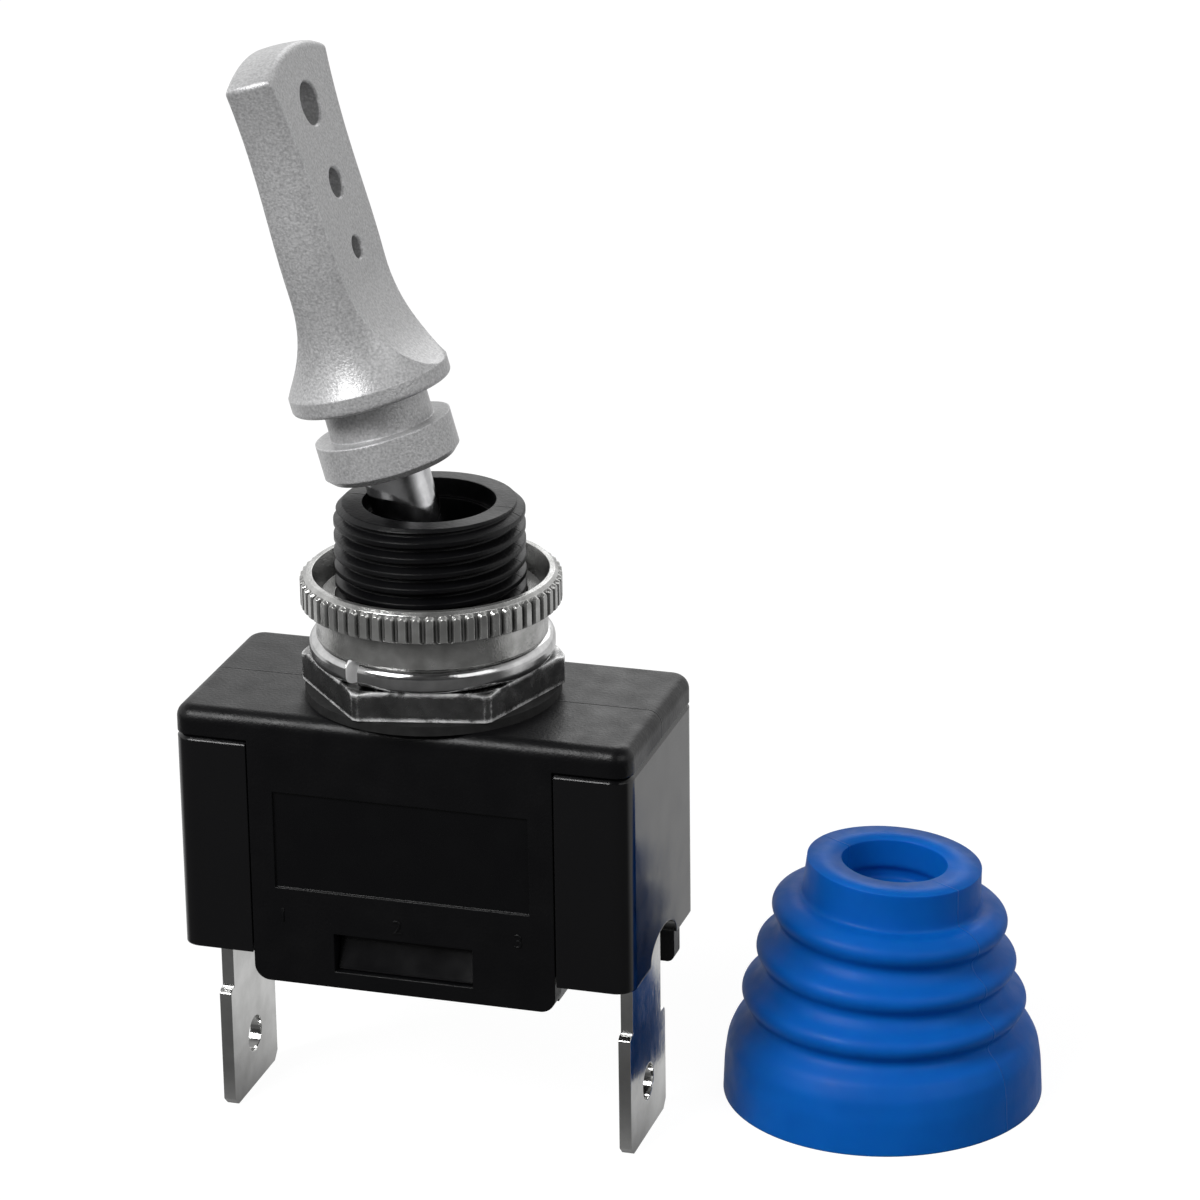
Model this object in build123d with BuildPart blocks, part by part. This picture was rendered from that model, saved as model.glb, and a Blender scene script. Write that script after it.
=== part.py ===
from build123d import *
import os
from math import cos, radians, sin, tan

# Panel toggle switch, in millimetres. The origin is on the bushing axis at the flat top of the body:
# +X runs along the body, +Y to its back, +Z up. The paddle leans to -X, the off side.

# Body
body_length = 29.95
body_depth = 14.5
cap_height = 1.8
body_corner = 1.25
cap_top_fillet = 0.9
post_top_chamfer = 0.35
cavity_corner = 0.8
base_bottom = -16.3
floor_thickness = 1.7
end_wall = 1.07
side_wall = 1.2
shell_gap = 0.1
keel_half_length = 9.8
keel_bottom = -17.9

# Tongues of the cover, with their snap windows
tongue_thickness = 1.3
tongue_half_width = 10.0
tongue_bottom = -18.1
tongue_corner = 1.0
skirt_half_width = 13.9
skirt_bottom = -19.95
skirt_corner = 0.5
label_length = 16.8
label_height = 6.5
label_centre = -8.35
label_recess = 0.15
window_length = 9.2
window_top = -14.4
window_bottom = -17.0
hook_reach = 1.0
hook_gap = 0.08
arch_half_width = 2.9
arch_height = 1.65

# Bushing and its thread
thread_radius = 6.0
thread_pitch = 1.0
thread_depth = 0.55
thread_root = 0.08 * thread_pitch
thread_mouth = 0.42 * thread_pitch
thread_run_out = 0.6
thread_start = 2.4
bushing_top = 12.6
bushing_chamfer = 0.55
mouth_radius = 4.2
mouth_depth = 1.2
socket_radius = 3.9
socket_floor = 4.7
slot_half_width = 2.3
slot_corner = 2.0
slot_clearance = 0.3
slot_step = 1.2

# Nuts and washers stacked on the bushing
stack_clearance = 0.05
seat_radius = 8.1
seat_height = 0.6
hex_flats = 14.6
hex_corner_radius = 8.3
hex_height = 1.9
hex_turn = 12.6
hex_bevel = 0.4
lock_radius = 7.75
lock_height = 1.55
lock_gap_angle = 246
lock_gap = 0.9
lock_gap_slant = 20
lock_edge = 0.6
lock_inner_edge = 0.2
ring_skirt_radius = 7.3
ring_skirt_height = 1.95
ring_radius = 7.98
ring_band_height = 2.05
ring_rim_radius = 7.45
ring_dish_radius = 6.9
ring_dish_depth = 1.5
ring_band_chamfer = 0.15
ring_rim_chamfer = 0.2
knurl_count = 60
knurl_width = 0.74
knurl_height = 0.24
knurl_root = 0.03
knurl_taper = 30

# Paddle lever; distances along the lever are measured up from its pivot
pivot_height = 6.6
lever_lean = 15.5
ball_radius = 3.3
ball_clearance = 0.06
pin_radius = 0.8
pin_clearance = 0.04
shaft_radius = 2.1
shaft_top = 16.0
arm_radius = 1.9
arm_length = 9.6
arm_chamfer = 0.3
pin_half_length = 5.2
pin_chamfer = 0.15
seat_ring_height = 1.0
seal_radius = 0.45
seal_angle = 62
collar_radius = 4.35
collar_bottom = 8.4
collar_top = 11.0
collar_chamfer = 0.4
neck_radius = 3.3
flange_radius = 5.1
flange_bottom = 13.2
flange_top = 14.3
flange_edge = 0.3
paddle_edge = 0.4
paddle_top = 35.5
paddle_crown = 1.15
paddle_half_thickness = 1.48
foot_half_thickness = 1.9
paddle_half_width = 5.08
paddle_waist = 4.19
waist_height = 22.2
flare_height = 20.8
bell_middle = 0.42
bell_bow = -0.2
wing_middle = 0.45
wing_bow = 0.05
hole_lead = 0.12
paddle_holes = ((31.7, 1.35), (26.6, 0.93), (22.4, 0.7))

# Plunger and its spring in the hollow lower end of the lever
plunger_radius = 1.1
plunger_clearance = 0.05
plunger_top = -6.4
plunger_tip_centre = -12.0
spring_bore_top = -3.4
spring_wire = 0.28
spring_turns = 5.5
spring_gap = 0.03
spring_side_gap = 0.1

# Rocker, which the plunger tips from side to side
rocker_tilt = 5.5
trough_angle = 6.0
trough_half_length = 4.6
trough_clearance = 0.06
rocker_thickness = 0.8
rocker_half_width = 2.2
kerb_run = 0.6
kerb_rise = 0.7
rocker_left_end = -10.3
rocker_right_end = 7.4
trunnion_radius = 0.38
trunnion_half_length = 3.6
contact_offset = -9.2
contact_radius = 1.5
contact_height = 0.7
contact_edge = 0.25
closed_gap = 0.2
arm_fall = 0.5

# Cradle, rivets, rest stop and insulation
shank_radius = 0.7
rivet_head_radius = 1.2
rivet_head_height = 0.45
rivet_edge = 0.2
cradle_inner = 2.7
cradle_thickness = 0.6
cradle_bend = 0.5
ear_half_length = 1.6
ear_rise = 0.9
ear_corner = 0.4
trunnion_clearance = 0.06
stop_x = 6.4
stop_length = 1.4
stop_half_width = 3.2
stop_gap = 0.06
stop_chamfer = 0.2
barrier_x = -4.7
barrier_thickness = 0.6
barrier_groove = 0.8
barrier_clearance = 0.8
shield_thickness = 0.4

# Terminals
blade_thickness = 0.8
blade_front_neck = 3.3
blade_back_neck = 2.95
blade_half_width = 3.9
blade_front_shoulder = -20.9
blade_back_shoulder = -22.1
blade_shoulder_chamfer = 0.25
blade_bottom = -29.25
blade_chamfer = 0.55
blade_hole_radius = 1.2
blade_hole_height = -25.7
blade_slot_gap = 0.05
neck_top = -13.0
inner_arm_half_width = 2.5
bend_radius = 0.9
left_arm_end = -7.4
right_arm_end = -2.2
left_pillar_end = -8.2
right_pillar_end = 3.0

# Blue boot, standing on the same floor as the blades
boot_x = 26.7
boot_y = 10.55
boot_height = 16.0
boot_skirt_radius = 10.42
boot_skirt_height = 3.4
boot_shoulder_radius = 9.05
boot_shoulder_height = 5.0
boot_ring_radius = 5.6
boot_ring_foot = 13.4
boot_hole_radius = 3.45
boot_hole_length = 2.7
boot_wall = 0.9
boot_edge = 0.25
boot_draft = 0.15
boot_ring_draft = 0.3
boot_hole_lead = 0.6
boot_hole_lead_height = 0.4
bead_count = 3
bead_radius = 9.2
bead_radius_step = 0.8
bead_height = 6.8
bead_height_step = 2.85
bead_depth = 0.85
bead_half_height = 0.6
bead_valley = 0.1
bead_slope = 0.25
bead_rise = 0.72


def swing_plane(height, lean):
    """Upright plane in which the lever and the rocker swing, turned with the leaning piece."""
    return Plane(origin=(0, 0, height), x_dir=(cos(radians(lean)), 0, sin(radians(lean))), z_dir=(0, -1, 0))


lever_front = swing_plane(pivot_height, lever_lean)
lever_base = Plane(origin=lever_front.origin, x_dir=lever_front.x_dir, z_dir=lever_front.y_dir)
lever_side = Plane(origin=lever_front.origin, x_dir=(0, 1, 0), z_dir=lever_front.x_dir)
lever_axis = Axis(lever_front.origin, lever_front.y_dir)

half_length = body_length / 2
half_depth = body_depth / 2
inner_face = half_depth - tongue_thickness
wall_face = inner_face - shell_gap
cavity_half_length = half_length - end_wall
cavity_half_depth = wall_face - side_wall
floor_top = base_bottom + floor_thickness
arm_reach = (pivot_height + cap_height) * tan(radians(lever_lean)) + arm_radius / cos(radians(lever_lean))
slot_half_length = arm_reach + slot_clearance
upper_reach = (pivot_height - slot_step) * tan(radians(lever_lean)) + arm_radius / cos(radians(lever_lean))
upper_slot_half_length = upper_reach + slot_clearance

# The trough's lowest line sits just below the plunger's tip as the lever passes through upright.
trough_drop = (plunger_radius + trough_clearance) / cos(radians(trough_angle))
trough_height = pivot_height + plunger_tip_centre - trough_drop
rocker_height = trough_height - rocker_thickness / 2
rocker_front = swing_plane(rocker_height, -rocker_tilt)
kerb_foot = rocker_thickness / 2 + trough_half_length * tan(radians(trough_angle))
kerb_top = kerb_foot + kerb_rise
contact_drop = -contact_offset * sin(radians(rocker_tilt))
moving_contact_top = kerb_top - arm_fall - rocker_thickness
closed_contact_bottom = rocker_height + moving_contact_top - contact_drop - contact_height
fixed_contact_top = closed_contact_bottom - closed_gap
inner_arm_top = fixed_contact_top - contact_height
inner_arm_bottom = inner_arm_top - blade_thickness
cradle_floor = inner_arm_top + cradle_thickness
cradle_outer = cradle_inner + cradle_thickness
ear_top = rocker_height + ear_rise
rocker_base = Plane(origin=rocker_front.origin, x_dir=rocker_front.x_dir, z_dir=rocker_front.y_dir)
blade_inner = cavity_half_length - blade_slot_gap - blade_thickness
blade_outer = blade_inner + blade_thickness
blade_centre = blade_inner + blade_thickness / 2
pillar_outer = blade_inner - bend_radius / 2
left_pillar_centre = (left_pillar_end - pillar_outer) / 2
left_pillar_length = pillar_outer + left_pillar_end
right_pillar_centre = (right_pillar_end + pillar_outer) / 2
right_pillar_length = pillar_outer - right_pillar_end
arm_underside = rocker_height + (kerb_top - arm_fall - rocker_thickness) - stop_x * sin(radians(rocker_tilt))
stop_top = arm_underside - stop_gap
barrier_top = rocker_height - barrier_clearance
hook_bottom = window_bottom + hook_gap
hook_top = window_top - hook_gap
hook_length = window_length - 2 * shell_gap
seal_reach = ball_radius + seal_radius + pin_clearance / 2
seal_centre_radius = seal_reach * sin(radians(seal_angle))
seal_centre_height = seal_reach * cos(radians(seal_angle))
hex_top = seat_height + hex_height
bell_height = flange_top + bell_middle * (waist_height - flange_top)
bell_radius = paddle_waist + bell_bow * (flange_radius - paddle_waist)
wing_height = waist_height + wing_middle * (paddle_top - waist_height)
wing_half_width = paddle_waist + wing_bow * (paddle_half_width - paddle_waist)
crown_height = paddle_top - paddle_crown
lock_mean_radius = (lock_radius + thread_radius + stack_clearance) / 2
lock_top = hex_top + lock_height
band_bottom = lock_top + ring_skirt_height
ring_top = band_bottom + ring_band_height
rib_top = ring_top - ring_rim_chamfer - knurl_width / 2
spring_radius = plunger_radius - spring_wire / 2 - spring_side_gap
spring_pitch = (spring_bore_top - plunger_top - spring_wire - spring_gap) / spring_turns
spring_foot = lever_base.offset(plunger_top + spring_wire / 2 + spring_gap).origin
plunger_bottom = plunger_tip_centre - plunger_radius

os.makedirs("parts", exist_ok=True)

# Cover with bushing
with BuildPart() as cover:
    with BuildSketch(Plane.XY.offset(-cap_height)):
        RectangleRounded(body_length, body_depth, body_corner)
    extrude(amount=cap_height)
    fillet(cover.faces().sort_by(Axis.Z)[-1].edges(), radius=cap_top_fillet)
    with BuildSketch(Plane.XZ.offset(inner_face)) as front_tongue:
        with Locations((0, (tongue_bottom - cap_height) / 2)):
            Rectangle(2 * tongue_half_width, -cap_height - tongue_bottom)
        fillet(front_tongue.vertices().group_by(Axis.Y)[0], radius=tongue_corner)
    extrude(amount=tongue_thickness)
    with BuildSketch(Plane.XZ.offset(-inner_face)) as rear_skirt:
        with Locations((0, (skirt_bottom - cap_height) / 2)):
            Rectangle(2 * skirt_half_width, -cap_height - skirt_bottom)
        fillet(rear_skirt.vertices().group_by(Axis.Y)[0], radius=skirt_corner)
    extrude(amount=-tongue_thickness)
    with BuildSketch(Plane.XZ):
        with Locations((0, (window_top + window_bottom) / 2)):
            Rectangle(window_length, window_top - window_bottom)
    extrude(amount=body_depth, both=True, mode=Mode.SUBTRACT)
    with BuildSketch(Plane.XZ.offset(half_depth - label_recess)):
        with Locations((0, label_centre)):
            Rectangle(label_length, label_height)
    extrude(amount=label_recess, mode=Mode.SUBTRACT)
    with BuildSketch():
        Circle(thread_radius)
    extrude(amount=bushing_top)
    with BuildLine() as thread_path:
        Helix(pitch=thread_pitch, height=bushing_top + thread_run_out - thread_start, radius=thread_radius,
              center=(0, 0, thread_start))
    with BuildSketch(Plane(origin=thread_path.line @ 0, x_dir=(1, 0, 0), z_dir=thread_path.line % 0)):
        with BuildLine():
            Polyline((-thread_depth, -thread_root), (thread_depth / 4, -thread_mouth),
                     (thread_depth / 4, thread_mouth), (-thread_depth, thread_root), close=True)
        make_face()
    sweep(path=thread_path.line, is_frenet=True, mode=Mode.SUBTRACT)
    with BuildSketch(Plane.XZ):
        with BuildLine():
            Polyline((thread_radius + bushing_chamfer, bushing_top - 2 * bushing_chamfer),
                     (thread_radius + bushing_chamfer, bushing_top + bushing_chamfer),
                     (thread_radius - 2 * bushing_chamfer, bushing_top + bushing_chamfer), close=True)
        make_face()
    revolve(axis=Axis.Z, mode=Mode.SUBTRACT)
    with BuildSketch(Plane.XY.offset(bushing_top - mouth_depth)):
        Circle(mouth_radius)
    extrude(amount=mouth_depth, mode=Mode.SUBTRACT)
    with BuildSketch(Plane.XY.offset(socket_floor)):
        Circle(socket_radius)
    extrude(amount=bushing_top - socket_floor, mode=Mode.SUBTRACT)
    with BuildSketch(Plane.XY.offset(slot_step)):
        RectangleRounded(2 * upper_slot_half_length, 2 * slot_half_width, slot_corner)
    extrude(amount=socket_floor - slot_step, mode=Mode.SUBTRACT)
    with BuildSketch(Plane.XY.offset(-cap_height)):
        RectangleRounded(2 * slot_half_length, 2 * slot_half_width, slot_corner)
    extrude(amount=slot_step + cap_height, mode=Mode.SUBTRACT)
    with Locations((0, 0, pivot_height)):
        Sphere(ball_radius + ball_clearance, mode=Mode.SUBTRACT)
    with BuildSketch(Plane.XZ):
        with Locations((0, pivot_height)):
            Circle(pin_radius)
    extrude(amount=thread_radius, both=True, mode=Mode.SUBTRACT)

# Base
with BuildPart() as base:
    with BuildSketch(Plane.XY.offset(base_bottom)):
        RectangleRounded(body_length, body_depth, body_corner)
    extrude(amount=-cap_height - base_bottom)
    with BuildSketch(Plane.XY.offset(keel_bottom)):
        Rectangle(2 * keel_half_length, 2 * wall_face)
    extrude(amount=base_bottom - keel_bottom)
    with BuildSketch(Plane.XY.offset(base_bottom)):
        with Locations((0, -half_depth)):
            Rectangle(2 * (tongue_half_width + shell_gap), 2 * (half_depth - wall_face))
        with Locations((0, half_depth)):
            Rectangle(2 * (skirt_half_width + shell_gap), 2 * (half_depth - wall_face))
    extrude(amount=-cap_height - base_bottom, mode=Mode.SUBTRACT)
    front_edges = base.edges().filter_by(Axis.X).group_by(Axis.Z)[-1].group_by(Axis.Y)[0]
    chamfer(front_edges, length=post_top_chamfer)
    with BuildSketch(Plane.XY.offset(floor_top)):
        RectangleRounded(2 * cavity_half_length, 2 * cavity_half_depth, cavity_corner)
    extrude(amount=-cap_height - floor_top, mode=Mode.SUBTRACT)
    with BuildSketch(Plane.XY.offset(floor_top)):
        with Locations((left_pillar_centre, 0)):
            Rectangle(left_pillar_length, 2 * inner_arm_half_width)
        with Locations((right_pillar_centre, 0)):
            Rectangle(right_pillar_length, 2 * inner_arm_half_width)
    extrude(amount=inner_arm_bottom - floor_top)
    with BuildSketch(Plane.XY.offset(floor_top - barrier_groove)):
        with Locations((barrier_x, 0)):
            Rectangle(barrier_thickness, 2 * cavity_half_depth)
    extrude(amount=barrier_groove, mode=Mode.SUBTRACT)
    with BuildSketch(Plane.XY.offset(base_bottom)):
        with Locations((blade_centre, 0), (-blade_centre, 0)):
            Rectangle(blade_thickness + 2 * blade_slot_gap, 2 * (blade_half_width + blade_slot_gap))
    extrude(amount=floor_thickness, mode=Mode.SUBTRACT)
    with BuildSketch(Plane.YZ.offset(blade_inner)):
        with Locations((0, base_bottom)):
            Ellipse(arch_half_width, arch_height)
    extrude(amount=body_length, mode=Mode.SUBTRACT)
    with BuildSketch(Plane.YZ.offset(-blade_inner)):
        with Locations((0, base_bottom)):
            Ellipse(arch_half_width, arch_height)
    extrude(amount=-body_length, mode=Mode.SUBTRACT)
    with BuildSketch(Plane.YZ):
        with BuildLine():
            Polyline((-wall_face, hook_top), (-wall_face - hook_reach, hook_bottom),
                     (-wall_face, hook_bottom), close=True)
        make_face()
        mirror(about=Plane.YZ)
    extrude(amount=hook_length / 2, both=True)

# Paddle: a slab that flares into the flange, crossed with a round bell that gives it its domed crown
with BuildPart() as paddle:
    with BuildSketch(lever_front):
        with BuildLine():
            sill = Line((flange_radius, flange_top), (-flange_radius, flange_top))
            left_side = Line((-paddle_half_thickness, paddle_top), (-foot_half_thickness, flare_height))
            TangentArc(left_side @ 1, sill @ 1, tangent=left_side % 1)
            crown_line = Line(left_side @ 0, (paddle_half_thickness, paddle_top))
            right_side = Line(crown_line @ 1, (foot_half_thickness, flare_height))
            TangentArc(right_side @ 1, sill @ 0, tangent=right_side % 1)
        make_face()
    extrude(amount=2 * flange_radius, both=True)
    with BuildSketch(lever_front):
        with BuildLine():
            axle = Line((0, paddle_top), (0, flange_top))
            rim = Line(axle @ 1, (flange_radius, flange_top))
            bell = Spline(rim @ 1, (bell_radius, bell_height), (paddle_waist, waist_height),
                          (wing_half_width, wing_height), (paddle_half_width, crown_height))
            TangentArc(axle @ 0, bell @ 1, tangent=(1, 0))
        make_face()
    revolve(axis=lever_axis, mode=Mode.INTERSECT)
    fillet(paddle.faces().sort_by(lever_axis)[-1].edges(), radius=paddle_edge)
    with BuildSketch(lever_side):
        for hole_height, hole_radius in paddle_holes:
            with Locations((0, hole_height)):
                Circle(hole_radius)
    extrude(amount=flange_radius, both=True, mode=Mode.SUBTRACT)
    chamfer(paddle.edges(Select.LAST).filter_by(GeomType.LINE, reverse=True), length=hole_lead)
    with BuildSketch(lever_base.offset(flange_bottom)):
        Circle(flange_radius)
    extrude(amount=flange_top - flange_bottom)
    fillet(paddle.edges().filter_by(GeomType.CIRCLE).group_by(lever_axis)[0], radius=flange_edge)
    with BuildSketch(lever_base.offset(collar_bottom)):
        Circle(neck_radius)
    extrude(amount=flange_bottom - collar_bottom)
    with BuildSketch(lever_base.offset(collar_bottom)):
        Circle(collar_radius)
    extrude(amount=collar_top - collar_bottom)
    chamfer(paddle.edges().filter_by(GeomType.CIRCLE).group_by(lever_axis)[0], length=collar_chamfer)
    with BuildSketch(lever_base.offset(collar_bottom)):
        Circle(shaft_radius)
    extrude(amount=shaft_top - collar_bottom, mode=Mode.SUBTRACT)

# Shaft with its ball, crossed by the pin and hollow below for the plunger
with BuildPart() as shaft:
    with BuildSketch(lever_base):
        Circle(shaft_radius)
    extrude(amount=shaft_top)
    with BuildSketch(lever_base):
        Circle(arm_radius)
    extrude(amount=-arm_length)
    chamfer(shaft.edges().filter_by(GeomType.CIRCLE).group_by(lever_axis)[0], length=arm_chamfer)
    with BuildSketch(lever_front):
        Circle(ball_radius)
        split(bisect_by=Plane.YZ)
    revolve(axis=lever_axis)
    with BuildSketch(lever_front):
        Circle(pin_radius + pin_clearance)
    extrude(amount=ball_radius, both=True, mode=Mode.SUBTRACT)
    with BuildSketch(lever_base.offset(-arm_length)):
        Circle(plunger_radius + plunger_clearance)
    extrude(amount=arm_length + spring_bore_top, mode=Mode.SUBTRACT)

with BuildPart() as pin:
    with BuildSketch(Plane.XZ):
        with Locations((0, pivot_height)):
            Circle(pin_radius)
    extrude(amount=pin_half_length, both=True)
    chamfer(pin.edges().filter_by(GeomType.CIRCLE), length=pin_chamfer)

# Seat under the ball and rubber ring above it
with BuildPart() as ball_seat:
    with BuildSketch(Plane.XY.offset(socket_floor)):
        Circle(socket_radius)
    extrude(amount=seat_ring_height)
    with Locations((0, 0, pivot_height)):
        Sphere(ball_radius + ball_clearance, mode=Mode.SUBTRACT)

with BuildPart() as lever_seal:
    with BuildSketch(Plane.XZ):
        with Locations((seal_centre_radius, pivot_height + seal_centre_height)):
            Circle(seal_radius)
    revolve(axis=Axis.Z)

# Nuts and washers, from the body up
with BuildPart() as seat_washer:
    with BuildSketch():
        Circle(seat_radius)
        Circle(thread_radius + stack_clearance, mode=Mode.SUBTRACT)
    extrude(amount=seat_height)

with BuildPart() as hex_nut:
    with BuildSketch(Plane.XY.offset(seat_height)):
        RegularPolygon(hex_flats / 2, 6, major_radius=False, rotation=hex_turn)
    extrude(amount=hex_height)
    with BuildSketch(Plane.XZ):
        with BuildLine():
            Polyline((0, seat_height), (hex_corner_radius, seat_height),
                     (hex_corner_radius, hex_top - hex_bevel / 2), (hex_corner_radius - hex_bevel, hex_top),
                     (0, hex_top), close=True)
        make_face()
    revolve(axis=Axis.Z, mode=Mode.INTERSECT)
    with BuildSketch(Plane.XY.offset(seat_height)):
        Circle(thread_radius + stack_clearance)
    extrude(amount=hex_height, mode=Mode.SUBTRACT)

with BuildPart() as lock_washer:
    with BuildSketch(Plane.XZ) as lock_section:
        with Locations((lock_mean_radius, hex_top + lock_height / 2)):
            Rectangle(lock_radius - thread_radius - stack_clearance, lock_height)
        fillet(lock_section.vertices().group_by(Axis.X)[-1], radius=lock_edge)
        chamfer(lock_section.vertices().group_by(Axis.X)[0], length=lock_inner_edge)
    revolve(axis=Axis.Z)
    with BuildSketch(Plane.XY.rotated((0, 0, lock_gap_angle)).offset(hex_top)):
        with Locations((lock_mean_radius, 0)):
            Rectangle(lock_radius, lock_gap, rotation=lock_gap_slant)
    extrude(amount=lock_height, mode=Mode.SUBTRACT)

# One rib of the knurl, with sloping sides and an arched top
with BuildPart() as knurl_rib:
    with BuildSketch(Plane.YZ.offset(ring_radius - knurl_root)):
        with Locations((0, (band_bottom + rib_top) / 2)):
            Rectangle(knurl_width, rib_top - band_bottom)
        with Locations((0, rib_top)):
            Circle(knurl_width / 2)
    extrude(amount=knurl_root + knurl_height, taper=knurl_taper)

with BuildPart() as ring_nut:
    with BuildSketch(Plane.XZ):
        with BuildLine():
            Polyline((thread_radius + stack_clearance, lock_top), (ring_skirt_radius, lock_top),
                     (ring_skirt_radius, band_bottom), (ring_radius - ring_band_chamfer, band_bottom),
                     (ring_radius, band_bottom + ring_band_chamfer),
                     (ring_radius, ring_top - ring_rim_chamfer),
                     (ring_radius - ring_rim_chamfer, ring_top), (ring_rim_radius, ring_top),
                     (ring_dish_radius, ring_top - ring_dish_depth),
                     (thread_radius + stack_clearance, ring_top - ring_dish_depth), close=True)
        make_face()
    revolve(axis=Axis.Z)
    with PolarLocations(0, knurl_count):
        add(knurl_rib.part)

# Plunger and its spring
with BuildPart() as plunger:
    with BuildSketch(lever_front):
        with BuildLine():
            Polyline((0, plunger_bottom), (0, plunger_top), (plunger_radius, plunger_top),
                     (plunger_radius, plunger_tip_centre))
            RadiusArc((plunger_radius, plunger_tip_centre), (0, plunger_bottom), plunger_radius)
        make_face()
    revolve(axis=lever_axis)

with BuildPart() as plunger_spring:
    with BuildLine() as spring_path:
        Helix(pitch=spring_pitch, height=spring_turns * spring_pitch, radius=spring_radius,
              center=spring_foot, direction=lever_base.z_dir)
    with BuildSketch(Plane(origin=spring_path.line @ 0, z_dir=spring_path.line % 0)):
        RegularPolygon(spring_wire / 2, 6)
    sweep(path=spring_path.line, is_frenet=True)

# Rocker with its trunnions; the trough's floor is a shallow V
rocker_line = ((rocker_left_end, kerb_top - arm_fall), (-trough_half_length - kerb_run, kerb_top),
               (-trough_half_length, kerb_foot), (0, rocker_thickness / 2), (trough_half_length, kerb_foot),
               (trough_half_length + kerb_run, kerb_top), (rocker_right_end, kerb_top - arm_fall))
rocker_underside = [(x, z - rocker_thickness) for x, z in reversed(rocker_line)]
with BuildPart() as rocker:
    with BuildSketch(rocker_front):
        with BuildLine():
            Polyline(*rocker_line, *rocker_underside, close=True)
        make_face()
    extrude(amount=rocker_half_width, both=True)
    with BuildSketch(rocker_front):
        Circle(trunnion_radius)
    extrude(amount=trunnion_half_length, both=True)

# Silver contacts, each a headed rivet
with BuildPart() as moving_contact:
    with BuildSketch(rocker_base.offset(moving_contact_top)):
        with Locations((contact_offset, 0)):
            Circle(contact_radius)
    extrude(amount=-contact_height)
    fillet(moving_contact.edges().filter_by(GeomType.CIRCLE).group_by(Axis.Z)[0], radius=contact_edge)

with BuildPart() as fixed_contact:
    with BuildSketch(Plane.XY.offset(inner_arm_top)):
        with Locations((contact_offset, 0)):
            Circle(contact_radius)
    extrude(amount=contact_height)
    fillet(fixed_contact.edges().filter_by(GeomType.CIRCLE).group_by(Axis.Z)[-1], radius=contact_edge)


def terminal(side, arm_end, rivet_x, rivet_radius):
    """One terminal: side is -1 for the left and 1 for the right; the inner arm ends at arm_end."""
    near_face = side * blade_inner
    far_face = side * blade_outer
    with BuildPart() as blade:
        with BuildSketch(Plane.XZ) as bracket:
            with BuildLine():
                Polyline((arm_end, inner_arm_top), (far_face, inner_arm_top), (far_face, neck_top),
                         (near_face, neck_top), (near_face, inner_arm_bottom), (arm_end, inner_arm_bottom),
                         close=True)
            make_face()
            fillet(bracket.vertices().sort_by_distance((far_face, inner_arm_top))[0], radius=bend_radius)
            fillet(bracket.vertices().sort_by_distance((near_face, inner_arm_bottom))[0],
                   radius=bend_radius - blade_thickness)
        extrude(amount=inner_arm_half_width, both=True)
        with BuildSketch(Plane.YZ.offset(near_face)) as tab:
            with BuildLine():
                Polyline((-blade_front_neck, neck_top), (-blade_front_neck, blade_front_shoulder),
                         (-blade_half_width, blade_front_shoulder), (-blade_half_width, blade_bottom),
                         (blade_half_width, blade_bottom), (blade_half_width, blade_back_shoulder),
                         (blade_back_neck, blade_back_shoulder), (blade_back_neck, neck_top), close=True)
            make_face()
            chamfer(tab.vertices().group_by(Axis.Y)[0], length=blade_chamfer)
            shoulders = (tab.vertices().sort_by_distance((-blade_half_width, blade_front_shoulder))[0],
                         tab.vertices().sort_by_distance((blade_half_width, blade_back_shoulder))[0])
            chamfer(shoulders, length=blade_shoulder_chamfer)
            with Locations((0, blade_hole_height)):
                Circle(blade_hole_radius, mode=Mode.SUBTRACT)
        extrude(amount=side * blade_thickness)
        with BuildSketch(Plane.XY.offset(inner_arm_top)):
            with Locations((rivet_x, 0)):
                Circle(rivet_radius)
        extrude(amount=-blade_thickness, mode=Mode.SUBTRACT)
    return blade


terminal_left = terminal(-1, left_arm_end, contact_offset, shank_radius)
terminal_right = terminal(1, right_arm_end, 0, shank_radius)

# Cradle whose ears carry the rocker's trunnions, and the rivet that holds it to the right terminal
with BuildPart() as cradle:
    with BuildSketch(Plane.YZ):
        with BuildLine():
            Polyline((-cradle_outer, ear_top), (-cradle_outer, inner_arm_top), (cradle_outer, inner_arm_top),
                     (cradle_outer, ear_top), (cradle_inner, ear_top), (cradle_inner, cradle_floor),
                     (-cradle_inner, cradle_floor), (-cradle_inner, ear_top), close=True)
        make_face()
    extrude(amount=ear_half_length, both=True)
    fillet(cradle.edges().filter_by(Axis.X).group_by(Axis.Z)[0], radius=cradle_bend)
    fillet(cradle.edges().filter_by(Axis.Y).group_by(Axis.Z)[-1], radius=ear_corner)
    with BuildSketch(Plane.XZ):
        with Locations((0, rocker_height)):
            Circle(trunnion_radius + trunnion_clearance)
        with Locations((0, (rocker_height + ear_top) / 2)):
            Rectangle(2 * (trunnion_radius + trunnion_clearance), ear_top - rocker_height)
    extrude(amount=cradle_outer, both=True, mode=Mode.SUBTRACT)
    with BuildSketch(Plane.XY.offset(inner_arm_top)):
        Circle(shank_radius)
    extrude(amount=cradle_floor - inner_arm_top, mode=Mode.SUBTRACT)

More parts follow.
